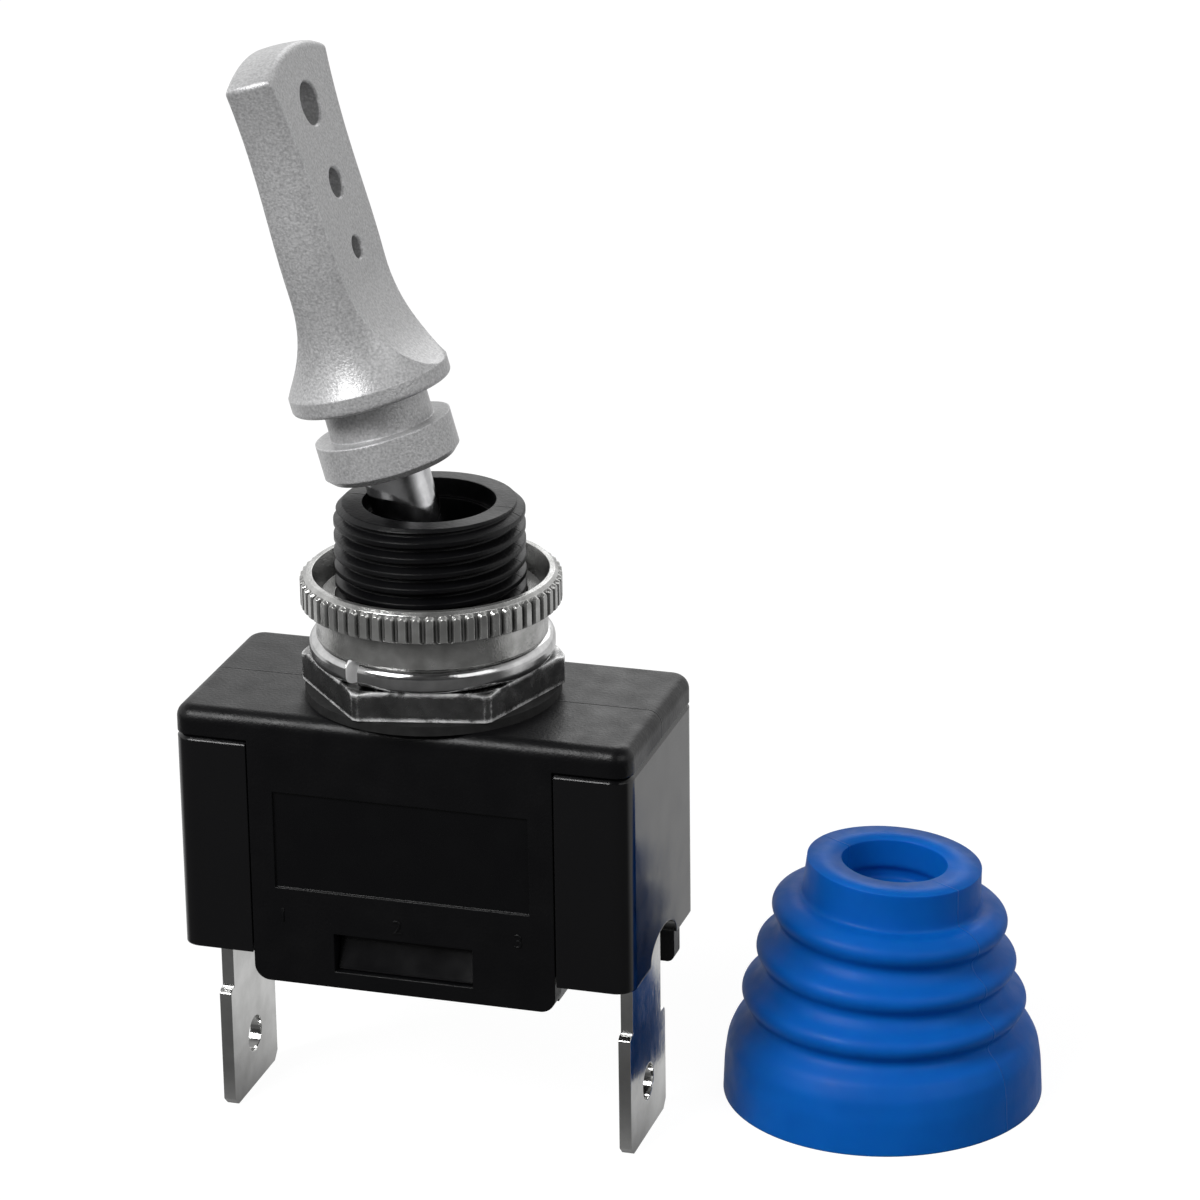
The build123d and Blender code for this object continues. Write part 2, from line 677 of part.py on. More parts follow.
with BuildPart() as cradle_rivet:
    with BuildSketch(Plane.XY.offset(inner_arm_bottom - rivet_head_height)):
        Circle(shank_radius)
    extrude(amount=cradle_floor - inner_arm_bottom + 2 * rivet_head_height)
    with BuildSketch(Plane.XY.offset(cradle_floor)):
        Circle(rivet_head_radius)
    extrude(amount=rivet_head_height)
    with BuildSketch(Plane.XY.offset(inner_arm_bottom)):
        Circle(rivet_head_radius)
    extrude(amount=-rivet_head_height)
    fillet(cradle_rivet.edges().filter_by(GeomType.CIRCLE).group_by(Axis.Z)[-1], radius=rivet_edge)

# Pad that straddles the right arm and stops the rocker in the off position
with BuildPart() as rest_stop:
    with BuildSketch(Plane.YZ.offset(stop_x)):
        with Locations((0, (stop_top + inner_arm_bottom) / 2)):
            Rectangle(2 * stop_half_width, stop_top - inner_arm_bottom)
        with Locations((0, (inner_arm_top + inner_arm_bottom) / 2)):
            Rectangle(2 * inner_arm_half_width, blade_thickness, mode=Mode.SUBTRACT)
    extrude(amount=stop_length / 2, both=True)
    chamfer(rest_stop.edges().group_by(Axis.Z)[-1], length=stop_chamfer)

# Insulating card between the terminals, and the sheet that closes the case under the cover
with BuildPart() as barrier:
    with BuildSketch(Plane.YZ.offset(barrier_x)) as card:
        with Locations((0, (barrier_top + floor_top - barrier_groove) / 2)):
            Rectangle(2 * cavity_half_depth, barrier_top - floor_top + barrier_groove)
        chamfer(card.vertices().group_by(Axis.Y)[-1], length=cavity_corner)
    extrude(amount=barrier_thickness / 2, both=True)

with BuildPart() as arc_shield:
    with BuildSketch(Plane.XY.offset(-cap_height)):
        RectangleRounded(2 * cavity_half_length, 2 * cavity_half_depth, cavity_corner)
        RectangleRounded(2 * slot_half_length, 2 * slot_half_width, slot_corner, mode=Mode.SUBTRACT)
    extrude(amount=-shield_thickness)

# Boot: beads widen towards the skirt, and the ring on top grips the lever's neck
boot_outer = [(boot_skirt_radius, 0), (boot_skirt_radius - boot_draft, boot_skirt_height),
              (boot_shoulder_radius, boot_shoulder_height)]
boot_inner = [(boot_skirt_radius - boot_wall, 0),
              (boot_skirt_radius - boot_wall - boot_draft, boot_skirt_height)]
for bead in range(bead_count):
    tip = bead_radius - bead * bead_radius_step
    height = bead_height + bead * bead_height_step
    root = tip - bead_depth
    boot_outer += [(root, height - 2 * bead_half_height), (root - bead_valley, height - bead_half_height),
                   (tip, height - bead_half_height / 2), (tip, height + bead_half_height / 2),
                   (root - bead_slope, height + bead_rise)]
    boot_inner += [(root - boot_wall, height - 2 * bead_half_height), (tip - boot_wall, height)]
boot_outer += [(boot_ring_radius + boot_ring_draft, boot_ring_foot), (boot_ring_radius, boot_height)]
boot_inner += [(boot_hole_radius + boot_hole_lead, boot_height - boot_hole_length - boot_hole_lead_height),
               (boot_hole_radius, boot_height - boot_hole_length), (boot_hole_radius, boot_height)]
with BuildPart() as boot:
    with BuildSketch(Plane.XZ) as boot_section:
        with BuildLine():
            Polyline(*boot_outer, *reversed(boot_inner), close=True)
        make_face()
    revolve(axis=Axis.Z)
    fillet(boot.edges().filter_by(GeomType.CIRCLE).group_by(Axis.Z)[-1], radius=boot_edge)
boot.part = Pos(boot_x, boot_y, blade_bottom) * boot.part

for name, piece in (("cover_housing", cover), ("base_housing", base), ("paddle_handle", paddle),
                    ("lever_shaft", shaft), ("pivot_pin", pin), ("ball_seat", ball_seat),
                    ("lever_seal", lever_seal), ("seat_washer", seat_washer), ("hex_nut", hex_nut),
                    ("lock_washer", lock_washer), ("ring_nut", ring_nut), ("plunger", plunger),
                    ("plunger_spring", plunger_spring), ("rocker", rocker),
                    ("moving_contact", moving_contact), ("fixed_contact", fixed_contact),
                    ("terminal_left", terminal_left), ("terminal_right", terminal_right),
                    ("rocker_cradle", cradle), ("cradle_rivet", cradle_rivet), ("rest_stop", rest_stop),
                    ("barrier", barrier), ("arc_shield", arc_shield), ("boot", boot)):
    piece.part.label = name
    export_step(piece.part, "parts/" + name + ".step")
    print(name, round(piece.part.volume, 1), "mm3", len(piece.part.solids()), "solid")
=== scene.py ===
# %% [markdown]
# # A panel toggle switch, dressed for its picture
# The switch is already built as solids, in metres, with +X along its body, +Y to its back and +Z up through
# the threaded bushing. This lesson gives those solids their finishes, makes the soft boot again as a smooth
# skin, and sets up the studio. Nearly every finish is small next to the piece that carries it, so the numbers
# below are given in millimetres and turned into metres once.

# %% Load the solids
import bpy
import numpy as np
from mathutils import Matrix, Vector


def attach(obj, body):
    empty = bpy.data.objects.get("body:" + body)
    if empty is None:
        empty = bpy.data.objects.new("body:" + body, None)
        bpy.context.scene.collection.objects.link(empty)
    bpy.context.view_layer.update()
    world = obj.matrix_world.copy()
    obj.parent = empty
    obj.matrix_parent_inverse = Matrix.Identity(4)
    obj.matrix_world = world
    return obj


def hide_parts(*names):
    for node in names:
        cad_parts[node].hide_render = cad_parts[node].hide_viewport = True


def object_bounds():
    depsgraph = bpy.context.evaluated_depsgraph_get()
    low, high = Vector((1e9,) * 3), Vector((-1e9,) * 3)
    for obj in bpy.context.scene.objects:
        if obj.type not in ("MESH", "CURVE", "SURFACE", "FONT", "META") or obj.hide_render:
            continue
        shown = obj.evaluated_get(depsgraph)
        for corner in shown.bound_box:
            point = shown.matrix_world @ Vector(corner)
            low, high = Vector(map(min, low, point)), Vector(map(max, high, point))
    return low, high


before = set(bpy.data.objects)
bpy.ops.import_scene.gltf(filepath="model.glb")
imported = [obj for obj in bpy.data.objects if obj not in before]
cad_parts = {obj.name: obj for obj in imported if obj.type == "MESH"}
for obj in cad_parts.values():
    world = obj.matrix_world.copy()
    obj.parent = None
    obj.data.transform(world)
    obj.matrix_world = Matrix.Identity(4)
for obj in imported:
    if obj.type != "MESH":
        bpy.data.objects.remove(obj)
solid_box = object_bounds()
MM = 0.001
floor_height = solid_box[0].z
print("solids:", len(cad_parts), "lowest point", round(floor_height / MM, 2), "mm")

# %% [markdown]
# ## The camera
# A small product is photographed with a long lens from well back, so that its edges stay nearly parallel.
# The camera stands 17 degrees round to the right of the front and 21 degrees up. Its three axes come from those
# angles, and a small roll matches the way the picture was held. Its place is given along those axes: how far
# the lens is to the right of the origin, above it, and back from it.

# %% Camera
camera_azimuth, camera_elevation, camera_roll = np.radians([17.20, 20.62, -0.79])
focal_pixels, picture_pixels = 4993.0, 1200.0
camera_offset = np.array([10.476, 5.554, 315.1]) * MM


def camera_axes(azimuth, elevation, roll):
    """Right, up and backward directions: backward points from the object to the lens, right is level, up is
    their cross product, and the roll turns right and up round the backward axis."""
    back = np.array([np.sin(azimuth) * np.cos(elevation), -np.cos(azimuth) * np.cos(elevation),
                     np.sin(elevation)])
    right = np.array([np.cos(azimuth), np.sin(azimuth), 0.0])
    up = np.cross(back, right)
    c, s = np.cos(roll), np.sin(roll)
    return np.array([c * right + s * up, c * up - s * right, back])


axes = camera_axes(camera_azimuth, camera_elevation, camera_roll)
camera_data = bpy.data.cameras.new("camera")
camera_data.sensor_width = 36.0
camera_data.lens = focal_pixels / picture_pixels * camera_data.sensor_width
camera_data.clip_start, camera_data.clip_end = 0.01, 20.0
camera = bpy.data.objects.new("camera", camera_data)
bpy.context.scene.collection.objects.link(camera)
placed = Matrix(axes.T.tolist()).to_4x4()
placed.translation = Vector((camera_offset @ axes).tolist())
camera.matrix_world = placed
bpy.context.scene.camera = camera
bpy.context.scene.view_settings.view_transform = "Standard"
print("lens", round(camera_data.lens, 1), "mm at", [round(v / MM, 1) for v in placed.translation], "mm")

# %% [markdown]
# ## How every finish starts
# Every finish starts the same way: one shader with a plain colour, and the piece's own coordinates measured in
# millimetres, so that a grain of 0.2 is a fifth of a millimetre on every piece. Because a piece's coordinates
# travel with it, the pattern stays put when the lever swings. A pattern that is laid on later takes the place
# of the plain colour and roughness. Wires are laid on the table and in the sky too, so the helper for them
# takes an owner: the material or world whose nodes they join.

# %% Start a finish
def wire(owner, value, target):
    """Gives an input its value: a wire when the value is another node's output, or else the plain value."""
    if isinstance(value, bpy.types.NodeSocket):
        owner.node_tree.links.new(value, target)
    else:
        target.default_value = value


def shader_of(material):
    """The shader that a material starts with."""
    return material.node_tree.nodes["Principled BSDF"]


def start_finish(name, colour, roughness, metallic=0.0, specular=0.5):
    """A material with one shader, and a Mapping node that turns the piece's metres into millimetres."""
    material = bpy.data.materials.new(name)
    material.use_nodes = True
    shader = shader_of(material)
    shader.inputs["Base Color"].default_value = (*colour, 1.0)
    shader.inputs["Roughness"].default_value = roughness
    shader.inputs["Metallic"].default_value = metallic
    shader.inputs["Specular IOR Level"].default_value = specular
    place = material.node_tree.nodes.new("ShaderNodeTexCoord")
    ruler = material.node_tree.nodes.new("ShaderNodeMapping")
    ruler.name = "ruler"
    ruler.inputs["Scale"].default_value = (1 / MM, 1 / MM, 1 / MM)
    wire(material, place.outputs["Object"], ruler.inputs["Vector"])
    return material


def measured(material):
    """The piece's own coordinates in millimetres."""
    return material.node_tree.nodes["ruler"].outputs["Vector"]


print("finish helpers ready")

# %% [markdown]
# ## Sums and patterns
# A pattern is arithmetic on the coordinates. Four small helpers do it all: a sum of numbers, a sum of vectors, a
# change of range, and soft clouds. Clouds stand for everything that is uneven on a real surface, such as grain,
# stains and waves, and only their size, depth and stretch differ.

# %% Sums and patterns
def number_step(owner, operation, first, second=0.0):
    """One sum of two numbers, each an output or a plain value."""
    node = owner.node_tree.nodes.new("ShaderNodeMath")
    node.operation = operation
    wire(owner, first, node.inputs[0])
    wire(owner, second, node.inputs[1])
    return node.outputs["Value"]


def vector_step(owner, operation, first, second=(0.0, 0.0, 0.0)):
    """One sum of two vectors, each an output or a plain one. The dot product gives a number: the first vector's
    length along the second, times the second's own length."""
    node = owner.node_tree.nodes.new("ShaderNodeVectorMath")
    node.operation = operation
    wire(owner, first, node.inputs[0])
    wire(owner, second, node.inputs[1])
    return node.outputs["Value" if operation == "DOT_PRODUCT" else "Vector"]


def spread(owner, value, low, high, from_low=0.3, from_high=0.7, ease="LINEAR"):
    """Carries from_low..from_high over to low..high, held at both ends. Most values of a cloud pattern lie
    between 0.3 and 0.7, so that is the range when none is given."""
    node = owner.node_tree.nodes.new("ShaderNodeMapRange")
    node.interpolation_type = ease
    node.clamp = True
    for socket, number in zip(("From Min", "From Max", "To Min", "To Max"), (from_low, from_high, low, high)):
        node.inputs[socket].default_value = number
    wire(owner, value, node.inputs["Value"])
    return node.outputs["Result"]


def clouds(material, size, detail=3.0, stretch=(1.0, 1.0, 1.0)):
    """Soft random values from 0 to 1, whose blobs are about size millimetres across. The coordinates are
    divided by stretch along each axis, which draws the pattern out that many times."""
    node = material.node_tree.nodes.new("ShaderNodeTexNoise")
    node.inputs["Scale"].default_value = 1.0 / size
    node.inputs["Detail"].default_value = detail
    wire(material, vector_step(material, "DIVIDE", measured(material), stretch), node.inputs["Vector"])
    return node.outputs["Fac"]


print("pattern helpers ready")

# %% [markdown]
# ## Relief and shading that finishes share
# A moulded or cast surface is never quite flat. Relief is stacked: each bump takes the surface that the one
# before it left. Two more helpers vary the gloss and the colour in the same soft clouds, which is what stops a
# surface from looking like paint on glass. The last one darkens or lightens the colour where a mark says so.

# %% Relief, gloss and colour
def add_relief(material, height, depth):
    """Raises the surface by height times depth millimetres, on top of whatever relief is there already."""
    surface = shader_of(material).inputs["Normal"]
    bump = material.node_tree.nodes.new("ShaderNodeBump")
    bump.inputs["Distance"].default_value = depth * MM
    bump.inputs["Strength"].default_value = 1.0
    wire(material, height, bump.inputs["Height"])
    if surface.is_linked:
        wire(material, surface.links[0].from_socket, bump.inputs["Normal"])
    wire(material, bump.outputs["Normal"], surface)


def vary_gloss(material, value, low, high):
    """Roughness runs from low to high as value goes from its dark patches to its light ones."""
    wire(material, spread(material, value, low, high), shader_of(material).inputs["Roughness"])


def vary_colour(material, value, dark, light):
    """Base colour runs from dark to light with value."""
    mix = material.node_tree.nodes.new("ShaderNodeMix")
    mix.data_type = "RGBA"
    mix.inputs["A"].default_value = (*dark, 1.0)
    mix.inputs["B"].default_value = (*light, 1.0)
    wire(material, spread(material, value, 0.0, 1.0), mix.inputs["Factor"])
    wire(material, mix.outputs["Result"], shader_of(material).inputs["Base Color"])


def tint(material, value, factor_low, factor_high, from_low, from_high):
    """Multiplies the base colour by a factor that runs between two levels of value."""
    colour = shader_of(material).inputs["Base Color"]
    gain = spread(material, value, factor_low, factor_high, from_low, from_high)
    scale = material.node_tree.nodes.new("ShaderNodeVectorMath")
    scale.operation = "SCALE"
    wire(material, colour.links[0].from_socket, scale.inputs[0])
    wire(material, gain, scale.inputs["Scale"])
    wire(material, scale.outputs["Vector"], colour)


print("relief helpers ready")

# %% [markdown]
# ## Soft edges and marked areas
# No moulded or plated edge is a knife edge: a tenth of a millimetre of rounding is what draws the thin bright
# line along it. The rounding is done in the shading alone, before any relief is stacked on it. Marked areas let
# one piece be smoother or lighter in one place, such as the polished panel on the front of the cover, and an
# occlusion mask marks hollows for painted shade.

# %% Edges and areas
edge_turned, edge_untouched = 0.86, 0.985


def edge_rounding(material, radius):
    """The direction that the surface would face with every edge rounded over radius millimetres."""
    node = material.node_tree.nodes.new("ShaderNodeBevel")
    node.samples = 6
    node.inputs["Radius"].default_value = radius * MM
    return node.outputs["Normal"]


def soften_edges(material, radius):
    """Bends the shading across every edge over radius millimetres; it comes before any relief."""
    wire(material, edge_rounding(material, radius), shader_of(material).inputs["Normal"])


def worn_edges(material, radius):
    """1 on edges and 0 on open faces. It goes by the cosine between the rounded direction and the plain one,
    from edge_untouched, 10 degrees of turn, down to edge_turned, 31 degrees."""
    plain = material.node_tree.nodes.new("ShaderNodeNewGeometry").outputs["Normal"]
    agreement = vector_step(material, "DOT_PRODUCT", edge_rounding(material, radius), plain)
    return spread(material, agreement, 1.0, 0.0, edge_turned, edge_untouched)


def painted_groove_shade(material, reach):
    """0 deep in a groove and 1 in the open, judged over reach millimetres. A colour scaled by it gets painted
    shade in grooves and hollows.
    """
    node = material.node_tree.nodes.new("ShaderNodeAmbientOcclusion")
    node.samples = 8
    node.inputs["Distance"].default_value = reach * MM
    return node.outputs["AO"]


def seam(material, direction, offset, half_width):
    """1 on the plane where the coordinate along direction equals offset, falling to 0 half_width away."""
    along = vector_step(material, "DOT_PRODUCT", measured(material), direction)
    away = number_step(material, "ABSOLUTE", number_step(material, "SUBTRACT", along, offset))
    return spread(material, away, 1.0, 0.0, 0.0, half_width)


def inside(material, centre, half, blur=0.03):
    """1 within half of centre along each axis and 0 outside: the largest of |p - centre| - half is below 0."""
    away = vector_step(material, "ABSOLUTE", vector_step(material, "SUBTRACT", measured(material), centre))
    split = material.node_tree.nodes.new("ShaderNodeSeparateXYZ")
    wire(material, vector_step(material, "SUBTRACT", away, half), split.inputs[0])
    widest = number_step(material, "MAXIMUM", split.outputs["X"], split.outputs["Y"])
    widest = number_step(material, "MAXIMUM", widest, split.outputs["Z"])
    return spread(material, widest, 1.0, 0.0, -blur, blur)


print("edge and area helpers ready")

# %% [markdown]
# ## Black plastic of the cover
# The cover and its bushing are one moulding in a glass-filled plastic: nearly black, with a dull skin and a fine
# grain left by the spark-eroded mould. Only the panel on the front tongue was polished in the mould, so the
# grain stops there and the roughness drops. The two halves of the mould met on the middle plane of the bushing,
# and a thin line of flash still shows across the top and up the thread. A low specular level keeps the upright
# faces dark while the flat top still catches the pale studio at a glancing angle.

# %% Cover plastic
panel_middle, panel_half, panel_polish = (0.0, -7.2, -8.35), (8.4, 0.4, 3.25), 0.10
cover_black = start_finish("cover_black_plastic", (0.0025, 0.0025, 0.003), 0.36, specular=0.24)
soften_edges(cover_black, 0.12)
panel = inside(cover_black, panel_middle, panel_half)
outside_panel = number_step(cover_black, "SUBTRACT", 1.0, panel)
cover_gloss = spread(cover_black, clouds(cover_black, 2.4, 4.0), 0.30, 0.44)
polish = number_step(cover_black, "MULTIPLY", panel, panel_polish)
polished_gloss = number_step(cover_black, "SUBTRACT", cover_gloss, polish)
wire(cover_black, polished_gloss, shader_of(cover_black).inputs["Roughness"])
cover_grain = number_step(cover_black, "MULTIPLY", clouds(cover_black, 0.22, 3.0), outside_panel)
add_relief(cover_black, cover_grain, 0.020)
add_relief(cover_black, clouds(cover_black, 4.0, 2.0), 0.035)
add_relief(cover_black, seam(cover_black, (0, 1, 0), 0.0, 0.07), 0.030)
print("cover plastic:", len(cover_black.node_tree.nodes), "nodes")

# %% [markdown]
# ## Glossy black of the base
# The lower cup comes from a polished mould, so its end walls mirror what stands next to them, with the slow
# waves that sink marks leave. Large, very shallow relief bends the mirror image without making it rough.

# %% Base plastic
base_black = start_finish("base_black_plastic", (0.0025, 0.0025, 0.003), 0.16, specular=0.5)
soften_edges(base_black, 0.14)
vary_gloss(base_black, clouds(base_black, 3.0, 3.0), 0.12, 0.22)
add_relief(base_black, clouds(base_black, 5.0, 1.0), 0.030)
add_relief(base_black, clouds(base_black, 0.25, 2.0), 0.0015)
print("base plastic:", len(base_black.node_tree.nodes), "nodes")

# %% [markdown]
# ## Satin nickel of the paddle
# The paddle is a zinc die casting, tumbled and plated, which gives a fine glitter instead of brush lines. Most
# of its light is scattered by the tumbled skin, so the metallic share is low, and a coat over it carries the
# soft sheen. The grain of 0.16 mm is the same in colour and relief, and rubbed edges are lighter. The die parted
# on the lever's own middle plane, so the seam leans with it: its direction is the lever's sideways axis, and its
# offset is where that plane passes the pivot.

# %% Paddle metal
lever_lean, pivot_height = np.radians(15.5), 6.6
lever_across = (float(np.cos(lever_lean)), 0.0, float(np.sin(lever_lean)))
casting_grain = 0.16
paddle_satin = start_finish("paddle_satin_nickel", (0.50, 0.50, 0.505), 0.42, metallic=0.26)
shader_of(paddle_satin).inputs["Coat Weight"].default_value = 0.70
shader_of(paddle_satin).inputs["Coat Roughness"].default_value = 0.32
soften_edges(paddle_satin, 0.18)
vary_colour(paddle_satin, clouds(paddle_satin, casting_grain, 3.0), (0.34, 0.34, 0.345), (0.58, 0.58, 0.585))
tint(paddle_satin, worn_edges(paddle_satin, 0.16), 1.0, 1.4, 0.10, 0.40)
vary_gloss(paddle_satin, clouds(paddle_satin, 0.35, 3.0), 0.36, 0.46)
add_relief(paddle_satin, clouds(paddle_satin, casting_grain, 2.0), 0.034)
add_relief(paddle_satin, clouds(paddle_satin, 1.6, 2.0), 0.012)
add_relief(paddle_satin, seam(paddle_satin, lever_across, pivot_height * lever_across[2], 0.12), 0.012)
print("paddle metal:", len(paddle_satin.node_tree.nodes), "nodes")

# %% [markdown]
# ## Bright plated steel
# The shaft, washers and nuts are turned or pressed from steel and plated. What tells them apart is how smooth
# the metal was before plating: the shaft is polished, the knurled nut is grainy, and the thin hexagon nut is a
# darker nickel with stains. One recipe with a few numbers serves them all.

# %% Plated metals
def plated(name, dark, light, gloss, grain, grain_depth):
    """Metal whose colour runs from dark to light in soft stains, with a roughness range and a surface grain."""
    metal = start_finish(name, light, gloss[0], metallic=1.0)
    soften_edges(metal, 0.07)
    vary_colour(metal, clouds(metal, 1.3, 4.0), dark, light)
    vary_gloss(metal, clouds(metal, 0.8, 4.0), *gloss)
    add_relief(metal, clouds(metal, grain, 2.0), grain_depth)
    return metal


shaft_polish = plated("shaft_polished_steel", (0.50, 0.50, 0.51), (0.70, 0.70, 0.71), (0.06, 0.16), 0.6, 0.004)
hex_nickel = plated("hex_nut_dark_nickel", (0.12, 0.12, 0.12), (0.24, 0.24, 0.24), (0.16, 0.34), 0.16, 0.008)
lock_steel = plated("lock_washer_bright_steel", (0.46, 0.46, 0.46), (0.66, 0.66, 0.66), (0.10, 0.22), 0.5, 0.005)
ring_nickel = plated("ring_nut_bright_nickel", (0.34, 0.34, 0.33), (0.56, 0.56, 0.55), (0.12, 0.28), 0.12, 0.016)
pin_steel = plated("pin_and_spring_steel", (0.45, 0.45, 0.46), (0.62, 0.62, 0.63), (0.20, 0.35), 0.3, 0.004)
print("plated metals: 5")

# %% [markdown]
# ## Wear on the hexagon nut, painted shade on the round nut
# A spanner rubs the hexagon nut's plating off along the edges, but never evenly. The worn share is the edge
# itself times a fine grain times wide patches. Where it is high, the nut is lighter and scatters light instead
# of mirroring it. The round nut gets painted shade instead: an occlusion judged over 2.4 mm darkens its dish,
# one judged over half a millimetre darkens the bottoms of its grooves, and the crests between them are rubbed
# bright.

# %% Wear and painted shade
hex_edge = number_step(hex_nickel, "MULTIPLY", worn_edges(hex_nickel, 0.55), clouds(hex_nickel, 0.35, 4.0))
hex_patches = spread(hex_nickel, clouds(hex_nickel, 1.8, 2.0), 0.30, 1.4, 0.35, 0.65)
hex_worn = number_step(hex_nickel, "MULTIPLY", hex_edge, hex_patches)
wear_starts, wear_ends = 0.10, 0.36
tint(hex_nickel, hex_worn, 1.0, 6.0, wear_starts, wear_ends)
wire(hex_nickel, spread(hex_nickel, hex_worn, 1.0, 0.35, wear_starts, wear_ends),
     shader_of(hex_nickel).inputs["Metallic"])
shader_of(ring_nickel).inputs["Metallic"].default_value = 0.82
# Painted shade: the colour drops to 0.30 of itself in the dish and to 0.12 in the groove bottoms.
tint(ring_nickel, painted_groove_shade(ring_nickel, 2.4), 0.30, 1.0, 0.25, 0.75)
tint(ring_nickel, painted_groove_shade(ring_nickel, 0.5), 0.12, 1.0, 0.45, 0.85)
tint(ring_nickel, worn_edges(ring_nickel, 0.12), 1.0, 1.5, 0.2, 0.8)
print("hexagon nut:", len(hex_nickel.node_tree.nodes), "nodes, round nut:", len(ring_nickel.node_tree.nodes))

# %% [markdown]
# ## Tin on the blades
# The blades are stamped from brass strip and dipped in tin. The strip's rolling lines run down the blade, and
# the tin dries in slow cloudy patches, so the grain is drawn out along Z and laid over wide stains.

# %% Blade tin
blade_tin = start_finish("blade_tin_plate", (0.62, 0.62, 0.60), 0.25, metallic=1.0)
soften_edges(blade_tin, 0.12)
vary_colour(blade_tin, clouds(blade_tin, 2.2, 5.0), (0.56, 0.56, 0.55), (0.76, 0.76, 0.75))
vary_gloss(blade_tin, clouds(blade_tin, 0.9, 4.0, (1.0, 1.0, 3.0)), 0.05, 0.15)
add_relief(blade_tin, clouds(blade_tin, 0.12, 2.0, (1.0, 1.0, 14.0)), 0.003)
add_relief(blade_tin, clouds(blade_tin, 1.5, 2.0), 0.010)
print("blade tin:", len(blade_tin.node_tree.nodes), "nodes")

# %% [markdown]
# ## Finishes inside the case
# Nobody sees the mechanism until the case is opened, yet each piece has its own stuff: brass strip, silver
# contacts, natural nylon, brown fibre card and black rubber. They get the same care at a smaller cost.

# %% Inner finishes
def dull(name, dark, light, roughness, grain, depth, metallic=0.0):
    """A plain solid stuff with clouded colour, a fine grain, and a roughness from a little under the given one
    to a little over it."""
    stuff = start_finish(name, light, roughness, metallic=metallic, specular=0.4)
    vary_colour(stuff, clouds(stuff, 0.9, 3.0), dark, light)
    vary_gloss(stuff, clouds(stuff, 0.5, 3.0), roughness - 0.06, roughness + 0.08)
    add_relief(stuff, clouds(stuff, grain, 2.0), depth)
    return stuff


strip_brass = dull("strip_brass", (0.52, 0.34, 0.12), (0.70, 0.49, 0.20), 0.30, 0.2, 0.003, metallic=1.0)
contact_silver = dull("contact_silver", (0.66, 0.65, 0.62), (0.82, 0.81, 0.79), 0.28, 0.2, 0.003, metallic=1.0)
natural_nylon = dull("natural_nylon", (0.66, 0.65, 0.60), (0.76, 0.75, 0.70), 0.45, 0.3, 0.004)
fibre_brown = dull("fibre_card_brown", (0.16, 0.09, 0.05), (0.26, 0.16, 0.09), 0.75, 0.15, 0.010)
washer_black = dull("washer_black_rubber", (0.006, 0.006, 0.006), (0.014, 0.014, 0.014), 0.55, 0.2, 0.006)
print("inner finishes: 5")

# %% [markdown]
# ## Each solid gets its finish
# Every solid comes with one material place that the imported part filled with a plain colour. The table below
# says which finish goes there. The boot is missing from it, because a skin with its own rubber replaces it.

# %% Lay the finishes on the solids
finish_of = {
    "cover_housing": cover_black, "base_housing": base_black, "paddle_handle": paddle_satin,
    "lever_shaft": shaft_polish, "pivot_pin": pin_steel, "ball_seat": natural_nylon,
    "lever_seal": washer_black, "seat_washer": washer_black, "hex_nut": hex_nickel,
    "lock_washer": lock_steel, "ring_nut": ring_nickel, "plunger": natural_nylon,
    "plunger_spring": pin_steel, "rocker": strip_brass, "moving_contact": contact_silver,
    "fixed_contact": contact_silver, "terminal_left": blade_tin, "terminal_right": blade_tin,
    "rocker_cradle": strip_brass, "cradle_rivet": strip_brass, "rest_stop": natural_nylon,
    "barrier": fibre_brown, "arc_shield": fibre_brown,
}
for node_name, finish in finish_of.items():
    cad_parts[node_name].material_slots[0].material = finish
print("finishes laid on", len(finish_of), "solids")

# %% [markdown]
# ## Blue rubber
# The boot is moulded in soft blue rubber with a talc-dull skin. Light goes a little way in and comes back out,
# so the shadows between the beads stay soft and blue rather than black. A subsurface share of about a millimetre
# gives that, and it reaches furthest in blue. The two halves of the mould leave one thin parting line, on an
# upright plane through the boot's own axis.

# %% Boot rubber
boot_axis = (26.7, 10.55)
boot_across = (0.44, 0.898, 0.0)
boot_blue = start_finish("boot_blue_rubber", (0.001, 0.107, 0.465), 0.50, specular=0.12)
vary_colour(boot_blue, clouds(boot_blue, 3.0, 3.0), (0.0005, 0.100, 0.440), (0.0015, 0.114, 0.490))
vary_gloss(boot_blue, clouds(boot_blue, 1.2, 4.0), 0.40, 0.55)
shader_of(boot_blue).inputs["Subsurface Weight"].default_value = 0.40
shader_of(boot_blue).inputs["Subsurface Radius"].default_value = (0.15, 0.6, 1.0)
shader_of(boot_blue).inputs["Subsurface Scale"].default_value = 1.1 * MM
add_relief(boot_blue, clouds(boot_blue, 0.25, 2.0), 0.006)
add_relief(boot_blue, clouds(boot_blue, 3.0, 2.0), 0.040)
boot_seam = boot_across[0] * boot_axis[0] + boot_across[1] * boot_axis[1]
add_relief(boot_blue, seam(boot_blue, boot_across, boot_seam, 0.10), 0.035)
print("boot rubber:", len(boot_blue.node_tree.nodes), "nodes")

# %% [markdown]
# ## The section of the boot
# The real boot is a wavy cone with a wall of about a millimetre: a straight skirt, three round beads that let it
# bend with the lever, and a thick ring that grips the lever's neck. Its section is written as a few corner
# points: radius first, then height. They are joined by straight runs, sampled finely, and then softened by a
# running average, which rounds every corner as a mould cutter would. The inside is hardly seen, so it is
# sampled half as finely. A bead has the same corners each time, given as steps from its tip.

